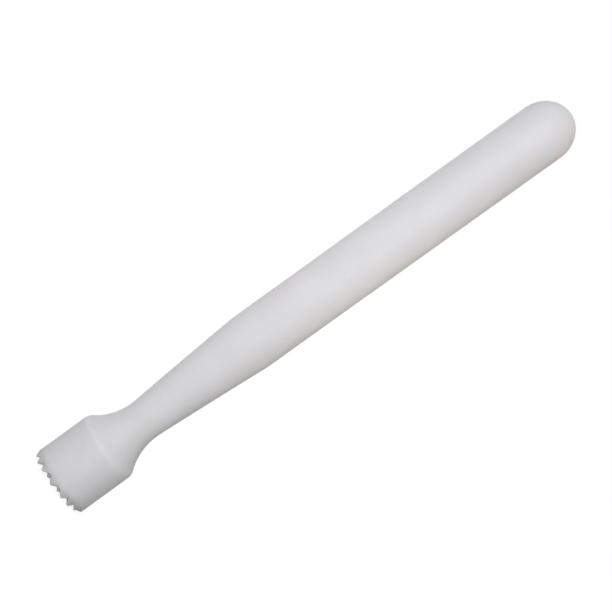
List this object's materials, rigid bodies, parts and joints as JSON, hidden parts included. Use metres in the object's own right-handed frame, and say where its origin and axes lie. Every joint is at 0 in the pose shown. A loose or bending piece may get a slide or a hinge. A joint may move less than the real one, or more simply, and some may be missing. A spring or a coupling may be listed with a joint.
{
  "type": "muddler",
  "caption": "Straight bar muddler moulded in one piece, with a toothed round head, a narrow neck, a tapered shaft and a plain grip with a domed end.",
  "frame": {"origin": "on the axis, in the plane of the tips of the teeth that the muddler stands on", "axes": "+Z along the axis from the toothed head to the domed end, X and Y along the two rows of grooves between the teeth"},
  "size_m": [0.0254, 0.0254, 0.216],
  "materials": {
    "white_plastic": "smooth moulded, matt"
  },
  "bodies": {
    "root": {"muddler_body": "white_plastic"}
  },
  "joints": []
}
